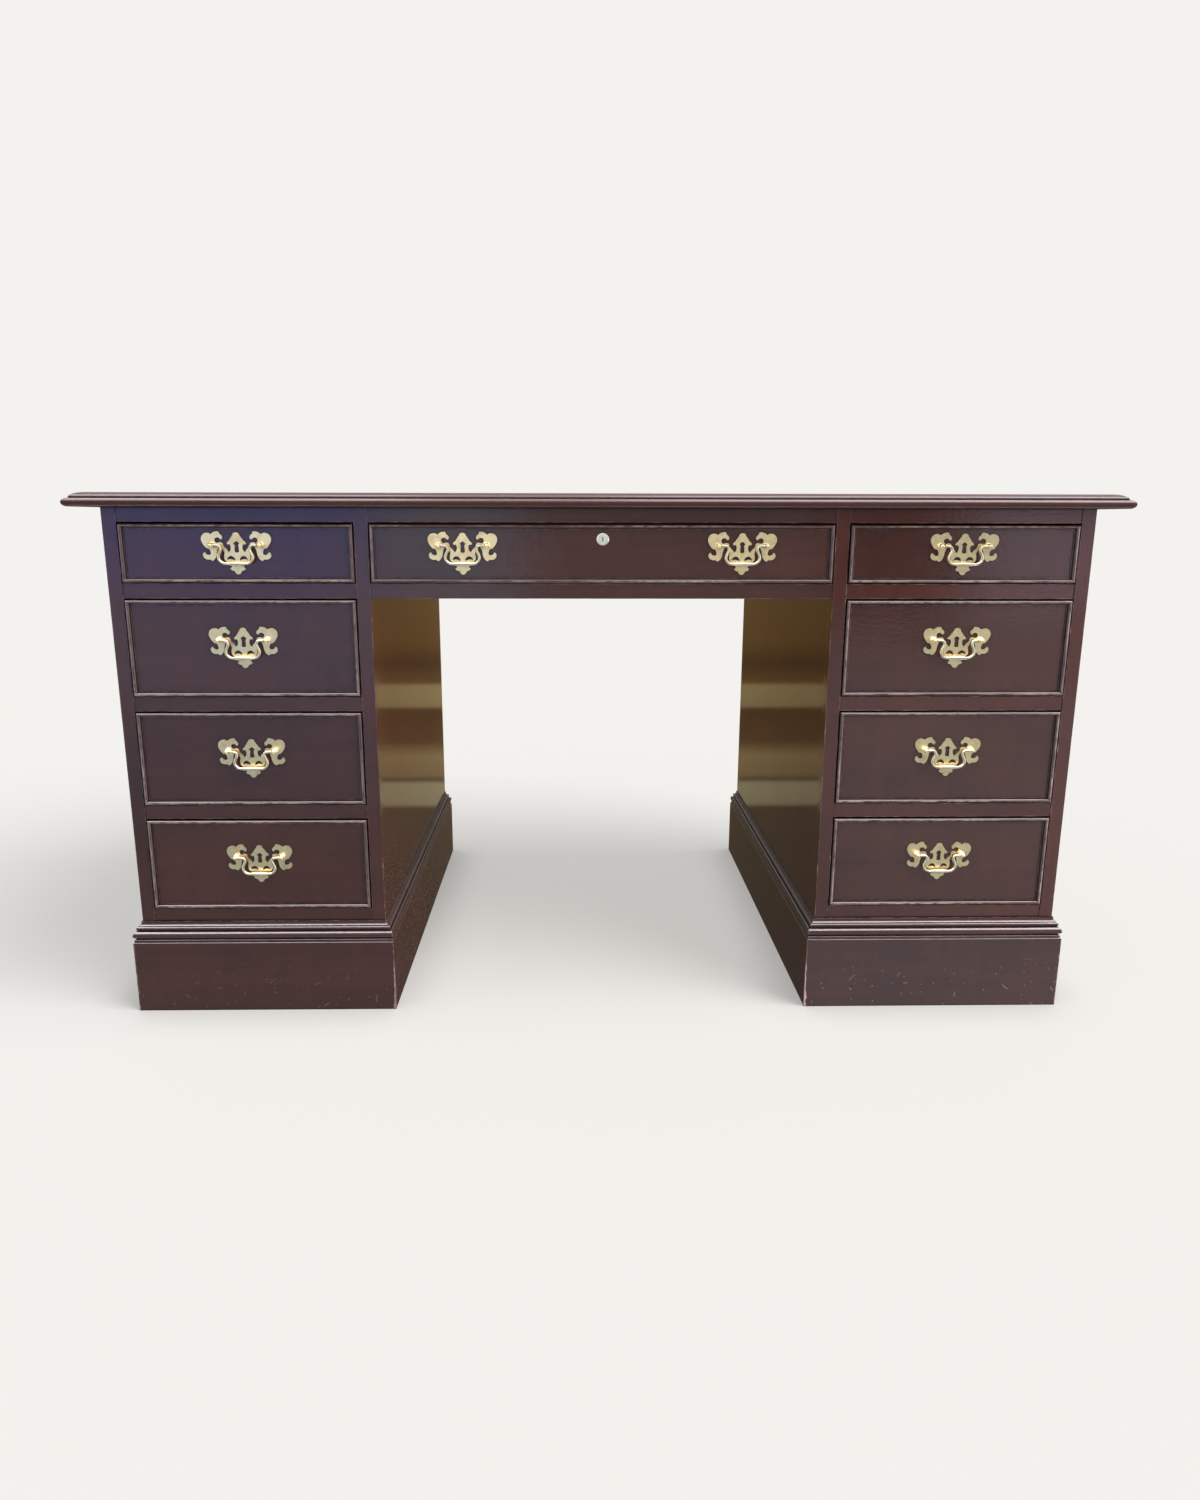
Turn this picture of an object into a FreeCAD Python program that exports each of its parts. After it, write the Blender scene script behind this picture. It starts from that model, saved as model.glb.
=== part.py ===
import FreeCAD, Part
import math
import os

# A twin-pedestal partners desk in mahogany.  Millimetres, +Z up, +X to the right of
# someone facing the drawer side, +Y from the drawer side to the cupboard side.
# The origin is on the floor under the middle of the desktop.

# ---- overall sizes ----
TOP_W = 1502.0            # desktop, left to right
TOP_D = 828.0             # desktop, front to back
HEIGHT = 793.0            # floor to the desktop's surface
OVERHANG = 37.0           # desktop beyond the carcass, all round
KNEE_W = 674.0            # kneehole between the pedestals

# ---- desktop ----
TOP_T = 20.0              # thickness at the moulded edge
LIP_W = 55.0              # width of the mitred edge moulding
NOSE_R = 5.9              # bullnose along the bottom of the edge
NOSE_LEDGE = 1.5          # flat behind it
QUIRK = 0.8               # step between the bullnose and the ovolo
OVOLO_W = 16.0            # width of the ovolo above it
OVOLO_TURN = 60.0         # degrees that its tight foot turns through
LEATHER_BORDER = 95.0     # wood left showing round the leather
LEATHER_T = 1.2

# ---- carcass boards ----
SIDE_T = 20.0             # pedestal sides, and the stiles on their edges
FRAME_D = 22.0            # depth of stiles and rails, front to back
RAIL_BACK = 1.0           # rails lie this far behind the stiles
BOARD_T = 12.0            # pedestal floors and partitions
FLOOR_GAP = 3.0           # carcass sides end this far above the floor

# ---- heights, from the top down ----
TOP_RAIL_H = 20.5
TOP_DRAWER_H = 87.0       # opening of the three top drawers
MID_RAIL_H = 21.5
LOW_RAIL_H = 21.4
DEEP_DRAWERS = 3          # equal openings below the top drawer in each pedestal
BASE_H = 165.5            # floor to the lowest opening
FOOT_RAIL_H = 70.0        # rail under the lowest opening

# ---- plinth and base moulding ----
PLINTH_H = 114.0
PLINTH_T = 13.0
PLINTH_ROUND = 1.5
BASE_MOULD_H = 31.4

# ---- drawers ----
FRONT_T = 20.0            # front board behind its flat field
FIELD_BACK = 1.5          # field behind the face of the stiles
BEAD_RISE = 4.5           # edge moulding above the field
BEAD_R = 2.6              # its round bead
BEAD_W = 7.4              # bead and the flat fillet inside it
FILLET_RISE = 0.8
SIDE_GAP = 2.0            # front to stile
HEAD_GAP = 2.4            # front to the rail above
FOOT_GAP = 1.4            # front to the rail below
BOX_SIDE_GAP = 1.5        # drawer box to pedestal side
BOX_HEADROOM = 10.0
BOX_LEN = 430.0
BOX_T = 12.0              # drawer sides and back
BOX_BOTTOM_T = 6.0
BOX_BOTTOM_UP = 8.0       # bottom above the lower edge of the sides
RUN_GAP = 0.3             # drawer above its runners
RUNNER_W = 18.0
RUNNER_H = 12.0
STOP_GAP = 0.5            # drawer back to the partition

# ---- pulls ----
PLATE_T = 1.6
POST_PITCH = 70.0         # between the two posts of a pull
TOP_POST_RISE = 11.1      # post axis above the middle of a top drawer
DEEP_POST_RISE = 12.4     # and of a deep one
PIVOT_OUT = 9.0           # bail axis in front of the field
HEAD_R = 3.5              # ball head of a post
STEM_R = 2.0
STEM_CLEAR = 0.2
BAIL_R = 2.05
BAIL_PIN_R = 1.5
BAIL_PIN_CLEAR = 0.05
BAIL_PIN_DEPTH = 1.2      # pin past the middle of the head
BAIL_BELLY_R = 3.2        # thickest part of the grip
NUT_R = 4.6
NUT_T = 3.2
CENTRE_PULL_X = 202.0     # pulls of the centre drawer from its middle

# ---- centre drawer lock ----
LOCK_DROP = 23.3          # cylinder axis below the top of the opening
BARREL_R = 8.4
FLANGE_R = 9.2
FLANGE_T = 1.6
PLUG_R = 5.5
PLUG_CLEAR = 0.06
CASE_W = 36.0
CASE_T = 11.0
CASE_BELOW = 17.0         # case below and above the cylinder axis
CASE_ABOVE = 14.0
BOLT_W = 14.0
BOLT_T = 4.0
BOLT_CLEAR = 0.3
BOLT_FOOT = 7.0           # bolt's lower end above the cylinder axis
BOLT_THROW = 7.0

# ---- rear cupboard doors ----
DOOR_GAP = 2.4
HINGE_R = 3.5             # knuckle
HINGE_PIN_R = 1.25
HINGE_PIN_CLEAR = 0.05
HINGE_LEN = 60.0
HINGE_INSET = 55.0        # hinge from the top and bottom of the door
LEAF_T = 0.9
LEAF_D = 18.0
KNUCKLE_GAP = 0.3
KNOB_R = 11.0
KNOB_OUT = 22.0
KNOB_IN = 26.0            # knob from the free edge of the door

# ---- cleats and screws that hold the desktop ----
CLEAT_D = 36.0
CLEAT_UP = 1.0            # cleats above the foot of the top rails
SCREW_R = 2.0
SCREW_HEAD_R = 4.0
SCREW_HEAD_T = 3.0
SCREW_IN = 60.0           # screw from the end of its cleat
SCREW_BITE = 12.0         # into the desktop
SCREW_SPARE = 0.5         # hole beyond the tip

# ---- worked out from the sizes above ----
CARCASS_W = TOP_W - 2 * OVERHANG
CARCASS_D = TOP_D - 2 * OVERHANG
FRONT = -CARCASS_D / 2
REAR = CARCASS_D / 2
KNEE = KNEE_W / 2
OUTER = CARCASS_W / 2
UNDERTOP = HEIGHT - TOP_T
FIELD = FRONT + FIELD_BACK
PARTITION = FIELD + FRONT_T + BOX_LEN + STOP_GAP
TOP_OPEN = UNDERTOP - TOP_RAIL_H
MID_RAIL_TOP = TOP_OPEN - TOP_DRAWER_H
MID_RAIL_LOW = MID_RAIL_TOP - MID_RAIL_H
DEEP_H = (MID_RAIL_LOW - BASE_H - (DEEP_DRAWERS - 1) * LOW_RAIL_H) / DEEP_DRAWERS
FLOOR_TOP = BASE_H - RUNNER_H - 3.0
LOCK_Z = TOP_OPEN - LOCK_DROP
PIVOT_Y = FIELD - PIVOT_OUT
SIDES = {"left": -1, "right": 1}

# Bottom and top of the four openings of a pedestal, from the top drawer down.
LEVELS = [(MID_RAIL_TOP, TOP_OPEN)]
for deep in range(DEEP_DRAWERS):
    opening_top = MID_RAIL_LOW - deep * (DEEP_H + LOW_RAIL_H)
    LEVELS.append((opening_top - DEEP_H, opening_top))


def vec(x, y, z):
    return FreeCAD.Vector(x, y, z)


def box(x0, x1, y0, y1, z0, z1):
    """A board between these limits, whichever way round they are given."""
    low = vec(min(x0, x1), min(y0, y1), min(z0, z1))
    return Part.makeBox(abs(x1 - x0), abs(y1 - y0), abs(z1 - z0), low)


def rod(radius, start, end):
    """A round bar from one point to another."""
    run = end - start
    return Part.makeCylinder(radius, run.Length, start, run)


def outline(start, steps, place):
    """Edges in turn from start.  A step of one point is a line, of two an arc, of more a spline."""
    edges = []
    here = start
    for step in steps:
        points = [place(*point) for point in [here] + step]
        if len(points) == 2:
            edges.append(Part.LineSegment(*points).toShape())
        elif len(points) == 3:
            edges.append(Part.Arc(*points).toShape())
        else:
            curve = Part.BSplineCurve()
            curve.interpolate(points)
            edges.append(curve.toShape())
        here = step[-1]
    return edges


def turned(start, steps, origin, axis):
    """A solid turned about an axis from a half profile of (radius, distance along)."""
    axis = vec(*axis)
    across = vec(0, 0, 1) if abs(axis.z) < 0.5 else vec(1, 0, 0)

    def place(radius, along):
        return origin + across * radius + axis * along

    face = Part.Face(Part.Wire(outline(start, steps, place)))
    return face.revolve(origin, axis, 360)


def flat(a, b, c):
    """A rectangle's own axes laid on the floor: c is the height."""
    return vec(a, b, c)


def mitred_ring(a0, a1, b0, b1, start, steps, to_space):
    """Four mitred lengths of a moulding round the rectangle a0..a1 by b0..b1.

    The profile's points are (distance out from the rectangle, height above its plane)."""
    points = [start] + [point for step in steps for point in step]
    far, near = max(p[0] for p in points), min(p[0] for p in points)
    low, high = min(p[1] for p in points) - 1, max(p[1] for p in points) + 1
    corners = [(a0, b0), (a1, b0), (a1, b1), (a0, b1)]
    origin = to_space(0, 0, 0)
    lengths = []
    for side in range(4):
        ca, cb = corners[side]
        na, nb = corners[(side + 1) % 4]
        span = math.hypot(na - ca, nb - cb)
        ta, tb = (na - ca) / span, (nb - cb) / span

        def place(out, up):
            return to_space(ca + tb * out - ta * far, cb - ta * out - tb * far, up)

        def mitre_corner(a, b, out, along):
            return to_space(a + tb * out + ta * along, b - ta * out + tb * along, low)

        bar = Part.Face(Part.Wire(outline(start, steps, place)))
        bar = bar.extrude((to_space(ta, tb, 0) - origin) * (span + 2 * far))
        quad = [mitre_corner(ca, cb, far, -far), mitre_corner(na, nb, far, far),
                mitre_corner(na, nb, near, near), mitre_corner(ca, cb, near, -near)]
        wedge = Part.Face(Part.makePolygon(quad + quad[:1]))
        wedge = wedge.extrude((to_space(0, 0, 1) - origin) * (high - low))
        lengths.append(bar.common(wedge))
    return lengths


def on_circle(centre, radius, degrees):
    angle = math.radians(degrees)
    return centre[0] + radius * math.cos(angle), centre[1] + radius * math.sin(angle)


def one_solid(shapes):
    """Several touching shapes as one clean solid."""
    joined = shapes[0].multiFuse(shapes[1:]) if len(shapes) > 1 else shapes[0]
    return joined.removeSplitter()


def moulded_front(x0, x1, z0, z1, field, out, thickness):
    """A front board with a moulding round its edge.  out is -1 or +1 along Y."""
    slab = box(x0, x1, field, field - out * thickness, z0, z1)

    def to_space(a, b, c):
        return vec(a, field + out * c, b)

    shoulder = BEAD_RISE - BEAD_R
    steps = [
        [(0, shoulder)],
        [(-BEAD_R, BEAD_RISE), (-2 * BEAD_R, shoulder)],
        [(-2 * BEAD_R, FILLET_RISE)],
        [(-BEAD_W, FILLET_RISE)],
        [(-BEAD_W, 0)],
        [(0, 0)],
    ]
    bead = mitred_ring(x0, x1, z0, z1, (0, 0), steps, to_space)
    return one_solid([slab] + bead)


# ---------------------------------------------------------------- desktop

def desktop():
    x, y = TOP_W / 2, TOP_D / 2
    recess = box(LEATHER_BORDER - x, x - LEATHER_BORDER, LEATHER_BORDER - y, y - LEATHER_BORDER,
                 HEIGHT - LEATHER_T, HEIGHT)
    panel = box(LIP_W - x, x - LIP_W, LIP_W - y, y - LIP_W, UNDERTOP, HEIGHT)
    for place in screw_places():
        panel = panel.cut(rod(SCREW_R, vec(*place, UNDERTOP), vec(*place, UNDERTOP + SCREW_BITE)))
    ledge = NOSE_R + NOSE_LEDGE
    ovolo_foot = UNDERTOP + 2 * NOSE_R + QUIRK
    sin, cos = math.sin(math.radians(OVOLO_TURN)), math.cos(math.radians(OVOLO_TURN))
    flatness = (1 - sin) / cos
    tight_r = (HEIGHT - ovolo_foot - OVOLO_W * flatness) / (sin - (1 - cos) * flatness)
    wide_r = (OVOLO_W - tight_r * (1 - cos)) / cos
    tight = (-ledge - tight_r, ovolo_foot)
    wide = (-ledge - OVOLO_W, HEIGHT - wide_r)
    steps = [
        [(-NOSE_R, UNDERTOP)],
        [(0, UNDERTOP + NOSE_R), (-NOSE_R, UNDERTOP + 2 * NOSE_R)],
        [(-ledge, UNDERTOP + 2 * NOSE_R)],
        [(-ledge, ovolo_foot)],
        [on_circle(tight, tight_r, OVOLO_TURN / 2), on_circle(tight, tight_r, OVOLO_TURN)],
        [on_circle(wide, wide_r, (OVOLO_TURN + 90) / 2), (-ledge - OVOLO_W, HEIGHT)],
        [(-LIP_W, HEIGHT)],
        [(-LIP_W, UNDERTOP)],
    ]
    edge = mitred_ring(-x, x, -y, y, (-LIP_W, UNDERTOP), steps, flat)
    return {"desktop_panel": [panel.cut(recess)],
            "desktop_edge_moulding": edge,
            "desktop_leather": [recess]}


def screw_places():
    """Where screws go up through the cleats into the desktop."""
    places = []
    for sign in SIDES.values():
        for x in (KNEE + SIDE_T + SCREW_IN, OUTER - SIDE_T - SCREW_IN):
            for y in cleat_middles():
                places.append((sign * x, y))
    return places


def cleat_middles():
    """Middle lines of the cleats behind the front and the rear top rails."""
    return FRONT + FRAME_D + CLEAT_D / 2, REAR - FRAME_D - CLEAT_D / 2


def top_screws():
    """Countersunk screws, head down, in the cleats."""
    screws = []
    foot = TOP_OPEN + CLEAT_UP
    for x, y in screw_places():
        head = Part.makeCone(SCREW_HEAD_R, SCREW_R, SCREW_HEAD_T, vec(x, y, foot))
        stem = rod(SCREW_R, vec(x, y, foot + SCREW_HEAD_T),
                   vec(x, y, UNDERTOP + SCREW_BITE - SCREW_SPARE))
        screws.append(head.fuse(stem).removeSplitter())
    return screws


# ---------------------------------------------------------------- pedestals

def rail_levels():
    """Bottom and top of each rail of a pedestal's drawer side, from the top down."""
    rails = [(TOP_OPEN, UNDERTOP), (MID_RAIL_LOW, MID_RAIL_TOP)]
    for low, _ in LEVELS[1:-1]:
        rails.append((low - LOW_RAIL_H, low))
    rails.append((BASE_H - FOOT_RAIL_H, BASE_H))
    return rails


def side_panels(sign):
    """The two upright boards of a pedestal, between the stiles on their edges."""
    y0, y1 = FRONT + FRAME_D, REAR - FRAME_D
    return [box(sign * x, sign * (x + SIDE_T), y0, y1, FLOOR_GAP, UNDERTOP)
            for x in (KNEE, OUTER - SIDE_T)]


def frame(sign, face, out, rails):
    """Stiles the full height of a pedestal with rails between them."""
    back = face - out * FRAME_D
    parts = [box(sign * x, sign * (x + SIDE_T), face, back, FLOOR_GAP, UNDERTOP)
             for x in (KNEE, OUTER - SIDE_T)]
    for low, high in rails:
        parts.append(box(sign * (KNEE + SIDE_T), sign * (OUTER - SIDE_T),
                         face - out * RAIL_BACK, back, low, high))
    return parts


def rear_rail_levels():
    return [(TOP_OPEN, UNDERTOP), (MID_RAIL_LOW, MID_RAIL_TOP), (BASE_H - FOOT_RAIL_H, BASE_H)]


def centre_rails():
    """Rails over the kneehole, above and below the centre drawer, front and rear.

    The front upper rail is mortised for the bolt of the lock."""
    parts = []
    for low, high in rail_levels()[:2]:
        parts.append(box(-KNEE, KNEE, FRONT + RAIL_BACK, FRONT + FRAME_D, low, high))
        parts.append(box(-KNEE, KNEE, REAR - RAIL_BACK, REAR - FRAME_D, low, high))
    mortise = box(-BOLT_W / 2 - 0.7, BOLT_W / 2 + 0.7, bolt_y() - BOLT_T / 2 - 0.7,
                  bolt_y() + BOLT_T / 2 + 0.7, TOP_OPEN, TOP_OPEN + BOLT_THROW)
    parts[0] = parts[0].cut(mortise)
    return parts


def runners(sign):
    """Hardwood runners on the pedestal sides, one pair under each drawer."""
    parts = []
    for low, _ in LEVELS:
        for x in (KNEE + SIDE_T, OUTER - SIDE_T - RUNNER_W):
            parts.append(box(sign * x, sign * (x + RUNNER_W), FRONT + FRAME_D, PARTITION,
                             low - RUNNER_H, low))
    return parts


def centre_runners():
    """Runners of the centre drawer on the kneehole faces of the pedestals."""
    return [box(sign * KNEE, sign * (KNEE - RUNNER_W), FRONT + FRAME_D, REAR - FRAME_D,
                MID_RAIL_TOP - RUNNER_H, MID_RAIL_TOP) for sign in SIDES.values()]


def top_cleats(sign):
    """Strips behind the top rails that the desktop is screwed to."""
    parts = []
    for middle in cleat_middles():
        cleat = box(sign * (KNEE + SIDE_T), sign * (OUTER - SIDE_T),
                    middle - CLEAT_D / 2, middle + CLEAT_D / 2, TOP_OPEN + CLEAT_UP, UNDERTOP)
        for x, y in screw_places():
            if y == middle and x * sign > 0:
                foot = vec(x, y, TOP_OPEN + CLEAT_UP)
                cleat = cleat.cut(Part.makeCone(SCREW_HEAD_R, SCREW_R, SCREW_HEAD_T, foot))
                cleat = cleat.cut(rod(SCREW_R, foot, vec(x, y, UNDERTOP)))
        parts.append(cleat)
    return parts


def inner_boards(sign):
    """The pedestal's floor, and the partition between drawers and cupboard."""
    x0, x1 = sign * (KNEE + SIDE_T), sign * (OUTER - SIDE_T)
    floor = box(x0, x1, FRONT + FRAME_D, REAR - FRAME_D, FLOOR_TOP - BOARD_T, FLOOR_TOP)
    partition = box(x0, x1, PARTITION, PARTITION + BOARD_T, FLOOR_TOP, TOP_OPEN)
    return [floor, partition]


def plinth(sign):
    """Mitred skirting boards round the foot of a pedestal."""
    x0, x1 = sorted((sign * KNEE, sign * OUTER))
    steps = [
        [(PLINTH_T, 0)],
        [(PLINTH_T, PLINTH_H - PLINTH_ROUND)],
        [(PLINTH_T - 0.3 * PLINTH_ROUND, PLINTH_H - 0.3 * PLINTH_ROUND),
         (PLINTH_T - PLINTH_ROUND, PLINTH_H)],
        [(0, PLINTH_H)],
        [(0, 0)],
    ]
    return mitred_ring(x0, x1, FRONT, REAR, (0, 0), steps, flat)


def base_moulding(sign):
    """Fillet, torus, bead and cavetto on top of the skirting."""
    x0, x1 = sorted((sign * KNEE, sign * OUTER))
    top = PLINTH_H + BASE_MOULD_H
    steps = [
        [(PLINTH_T - 1.6, PLINTH_H)],
        [(PLINTH_T - 1.6, PLINTH_H + 2.6)],
        [(PLINTH_T - 2.0, PLINTH_H + 3.8), (PLINTH_T - 3.2, PLINTH_H + 4.4)],
        [(PLINTH_T - 4.2, PLINTH_H + 4.4)],
        [(PLINTH_T - 4.2, PLINTH_H + 6.4)],
        [(PLINTH_T - 1.4, PLINTH_H + 7.6), (PLINTH_T - 0.2, PLINTH_H + 10.5)],
        [(PLINTH_T - 1.2, PLINTH_H + 14.2), (PLINTH_T - 4.4, PLINTH_H + 16.6)],
        [(PLINTH_T - 6.6, PLINTH_H + 16.6)],
        [(PLINTH_T - 6.6, PLINTH_H + 18.2)],
        [(PLINTH_T - 4.9, PLINTH_H + 20.4), (PLINTH_T - 7.4, PLINTH_H + 23.8)],
        [(PLINTH_T - 8.6, PLINTH_H + 23.8)],
        [(PLINTH_T - 8.6, top - 6.8)],
        [(2.5, top - 4.8), (1.9, top - 2.0)],
        [(1.9, top)],
        [(0, top)],
        [(0, PLINTH_H)],
    ]
    return mitred_ring(x0, x1, FRONT, REAR, (0, PLINTH_H), steps, flat)


# ---------------------------------------------------------------- pulls

def pull_plate():
    """The pierced bat-wing back plate, centred on the post axis, facing -Y.

    The right half runs from the top of the middle lobe to the tip of the drop."""
    half = [
        [(2.9, 17.1), (4.6, 15.3), (4.8, 13.3)],
        [(6.5, 12.3), (7.0, 10.0)],
        [(8.8, 9.1), (9.3, 6.8)],
        [(11.2, 5.6), (13.7, 2.3)],
        [(11.9, 0.9), (9.8, 1.3)],
        [(8.3, -2.7), (9.0, -6.9), (12.3, -10.0)],
        [(14.2, -6.1), (17.4, -3.0), (19.1, 1.2)],
        [(21.3, 3.6), (24.6, 3.7), (27.6, 2.8)],
        [(30.2, 5.1), (30.3, 8.7), (26.9, 10.7), (22.9, 8.6)],
        [(20.8, 8.3), (19.5, 11.3), (21.2, 14.3), (23.3, 16.0)],
        [(24.4, 19.0)],
        [(28.6, 19.1), (32.4, 17.7), (35.6, 15.0)],
        [(41.2, 17.2), (47.0, 15.0), (49.9, 8.7), (47.9, 1.9), (42.6, -4.7)],
        [(40.2, -4.9), (38.1, -7.1), (37.2, -10.4)],
        [(38.0, -13.4), (40.8, -14.0), (43.8, -12.6), (45.6, -9.8)],
        [(48.5, -12.9), (48.1, -16.6), (44.2, -20.0), (39.0, -20.2)],
        [(35.7, -22.4)],
        [(32.4, -20.4), (30.0, -16.6), (28.8, -12.5)],
        [(28.2, -8.4), (26.8, -4.6), (24.4, -1.6)],
        [(22.3, -1.3), (20.9, -3.6), (19.3, -7.4), (17.7, -10.8)],
        [(18.5, -15.2), (18.3, -19.6), (15.4, -23.7), (10.8, -26.3)],
        [(8.6, -29.1), (11.0, -33.0)],
        [(8.5, -35.8), (5.2, -36.4)],
        [(4.0, -39.2), (0, -41.6)],
    ]
    keyhole = [
        [(2.8, 3.9)], [(4.6, 2.0)], [(3.0, 0.4), (2.9, -3.0), (2.9, -6.8)],
        [(3.2, -8.6), (0, -10.4)],
    ]
    eye = [
        [(4.5, -18.0), (8.9, -15.3), (13.2, -17.3), (14.8, -21.4)],
        [(12.2, -20.1), (8.8, -20.0), (3.6, -22.4)],
    ]

    def half_edges(start, steps, sign):
        return outline(start, steps, lambda x, z: vec(sign * x, 0, z))

    def symmetric(start, steps):
        edges = half_edges(start, steps, 1) + half_edges(start, steps, -1)
        return Part.Wire(Part.sortEdges(edges)[0])

    def slab(wire):
        return Part.Face(wire).extrude(vec(0, -PLATE_T, 0))

    plate = slab(symmetric((0, 17.8), half))
    plate = plate.cut(slab(symmetric((0, 5.9), keyhole)))
    for sign in SIDES.values():
        plate = plate.cut(slab(Part.Wire(half_edges((3.6, -22.4), eye, sign))))
        x = sign * POST_PITCH / 2
        plate = plate.cut(rod(STEM_R + STEM_CLEAR, vec(x, 1, 0), vec(x, -PLATE_T - 1, 0)))
    return plate


def pull_post(sign):
    """A post with a ball head, drilled from its inner side for the bail's pin."""
    steps = [
        [(STEM_R, -FRONT_T - NUT_T - 2.0)],
        [(STEM_R, PLATE_T)],
        [(4.6, PLATE_T)],
        [(4.6, PLATE_T + 0.8)],
        [(2.8, PLATE_T + 2.2), (2.1, PLATE_T + 3.8)],
        [(2.3, PIVOT_OUT - math.sqrt(HEAD_R ** 2 - 2.3 ** 2))],
        [(HEAD_R, PIVOT_OUT), (0, PIVOT_OUT + HEAD_R)],
        [(0, -FRONT_T - NUT_T - 2.0)],
    ]
    x = sign * POST_PITCH / 2
    post = turned((0, -FRONT_T - NUT_T - 2.0), steps, vec(x, 0, 0), (0, -1, 0))
    inner = vec(x - sign * (HEAD_R + 1), -PIVOT_OUT, 0)
    deepest = vec(x + sign * (BAIL_PIN_DEPTH + 0.3), -PIVOT_OUT, 0)
    return post.cut(rod(BAIL_PIN_R + BAIL_PIN_CLEAR, inner, deepest))


def pull_nut(sign):
    """A hexagonal nut on the stem, against the back of the drawer front."""
    x = sign * POST_PITCH / 2
    corners = [vec(x + NUT_R * math.cos(math.radians(60 * k)), FRONT_T,
                   NUT_R * math.sin(math.radians(60 * k))) for k in range(7)]
    nut = Part.Face(Part.makePolygon(corners)).extrude(vec(0, NUT_T, 0))
    return nut.cut(rod(STEM_R, vec(x, FRONT_T - 1, 0), vec(x, FRONT_T + NUT_T + 1, 0)))


def bent_rod(radius, points, heading, y, sign):
    """A round rod in a plane of constant y, as arcs that run on smoothly from point to point.

    The points are (x, z) and heading is the angle in which it sets out.  A sign of -1
    mirrors it to the other side."""
    parts = []
    for (x, z), (next_x, next_z) in zip(points, points[1:]):
        chord = math.atan2(next_z - z, next_x - x)
        turn = 2 * math.remainder(chord - heading, 2 * math.pi)
        bend = math.hypot(next_x - x, next_z - z) / (2 * math.sin(turn / 2))
        centre = vec(sign * (x - bend * math.sin(heading)), y, z + bend * math.cos(heading))
        along = vec(sign * math.cos(heading), 0, math.sin(heading))
        disc = Part.Face(Part.Wire(Part.makeCircle(radius, vec(sign * x, y, z), along)))
        parts.append(disc.revolve(centre, vec(0, -sign, 0), math.degrees(turn)))
        heading += turn
    return parts


def bail():
    """The cast swinging handle, hanging straight down from its two pins."""
    half = POST_PITCH / 2
    reach = half + BAIL_PIN_DEPTH
    knuckle = half - HEAD_R - 1.4
    grip_x, grip_z = half - 20.5, -25.9
    arm = [(half - 7.3, 0), (half - 11.5, -0.6), (half - 14.3, -3.6), (half - 13.6, -8.6),
           (half - 11.4, -13.2), (half - 10.6, -17.6), (half - 12.2, -21.9), (half - 15.8, -24.8),
           (grip_x, grip_z)]
    parts = []
    for sign in SIDES.values():

        def at(x, z):
            return vec(sign * x, -PIVOT_OUT, z)

        parts.append(rod(BAIL_PIN_R, at(reach, 0), at(knuckle, 0)))
        parts.append(rod(BAIL_R, at(knuckle, 0), at(*arm[0])))
        collar = [[(2.2, -1.2)], [(2.9, 0), (2.2, 1.2)], [(0, 1.2)], [(0, -1.2)]]
        parts.append(turned((0, -1.2), collar, at(knuckle, 0), (1, 0, 0)))
        parts += bent_rod(BAIL_R, arm, math.pi, -PIVOT_OUT, sign)
    grip = [
        [(BAIL_R, -grip_x)],
        [(BAIL_BELLY_R, 0), (BAIL_R, grip_x)],
        [(0, grip_x)],
        [(0, -grip_x)],
    ]
    parts.append(turned((0, -grip_x), grip, vec(0, -PIVOT_OUT, grip_z), (1, 0, 0)))
    return parts[0].multiFuse(parts[1:]).removeSplitter()


PLATE = pull_plate()
BAIL = bail()


def pull_holes(x, z):
    """Drilled holes in a drawer front for the two posts of a pull."""
    holes = []
    for sign in SIDES.values():
        px = x + sign * POST_PITCH / 2
        holes.append(rod(STEM_R + STEM_CLEAR, vec(px, FIELD - 1, z), vec(px, FIELD + FRONT_T + 1, z)))
    return holes


def pull(x, z):
    """Back plate, posts and nuts of one pull."""
    parts = [PLATE] + [pull_post(sign) for sign in SIDES.values()]
    parts += [pull_nut(sign) for sign in SIDES.values()]
    return [part.translated(vec(x, FIELD, z)) for part in parts]


# ---------------------------------------------------------------- drawers

def drawer_box(x0, x1, z0, z1):
    """Sides, back and bottom behind a drawer front."""
    y0 = FIELD + FRONT_T
    y1 = y0 + BOX_LEN
    parts = [box(x0, x0 + BOX_T, y0, y1, z0, z1), box(x1 - BOX_T, x1, y0, y1, z0, z1),
             box(x0 + BOX_T, x1 - BOX_T, y1 - BOX_T, y1, z0, z1)]
    parts.append(box(x0 + BOX_T, x1 - BOX_T, y0, y1 - BOX_T,
                     z0 + BOX_BOTTOM_UP, z0 + BOX_BOTTOM_UP + BOX_BOTTOM_T))
    return parts


def drawer(name, x0, x1, low, high, pull_xs, post_rise):
    """Front, box, pulls and bails of the drawer in the opening x0..x1, low..high."""
    z_pull = (low + high) / 2 + post_rise
    front = moulded_front(x0 + SIDE_GAP, x1 - SIDE_GAP, low + FOOT_GAP, high - HEAD_GAP,
                          FIELD, -1, FRONT_T)
    nodes = {}
    pulls = []
    for x in pull_xs:
        for hole in pull_holes(x, z_pull):
            front = front.cut(hole)
        pulls += pull(x, z_pull)
    nodes[name + "_drawer_front"] = [front]
    nodes[name + "_drawer_box"] = drawer_box(x0 + BOX_SIDE_GAP, x1 - BOX_SIDE_GAP,
                                             low + RUN_GAP, high - BOX_HEADROOM)
    nodes[name + "_drawer_pull"] = pulls
    for x in pull_xs:
        tag = "" if len(pull_xs) == 1 else ("_left" if x < 0 else "_right")
        nodes[name + tag + "_bail"] = [BAIL.translated(vec(x, FIELD, z_pull))]
    return nodes


# ---------------------------------------------------------------- lock

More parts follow.
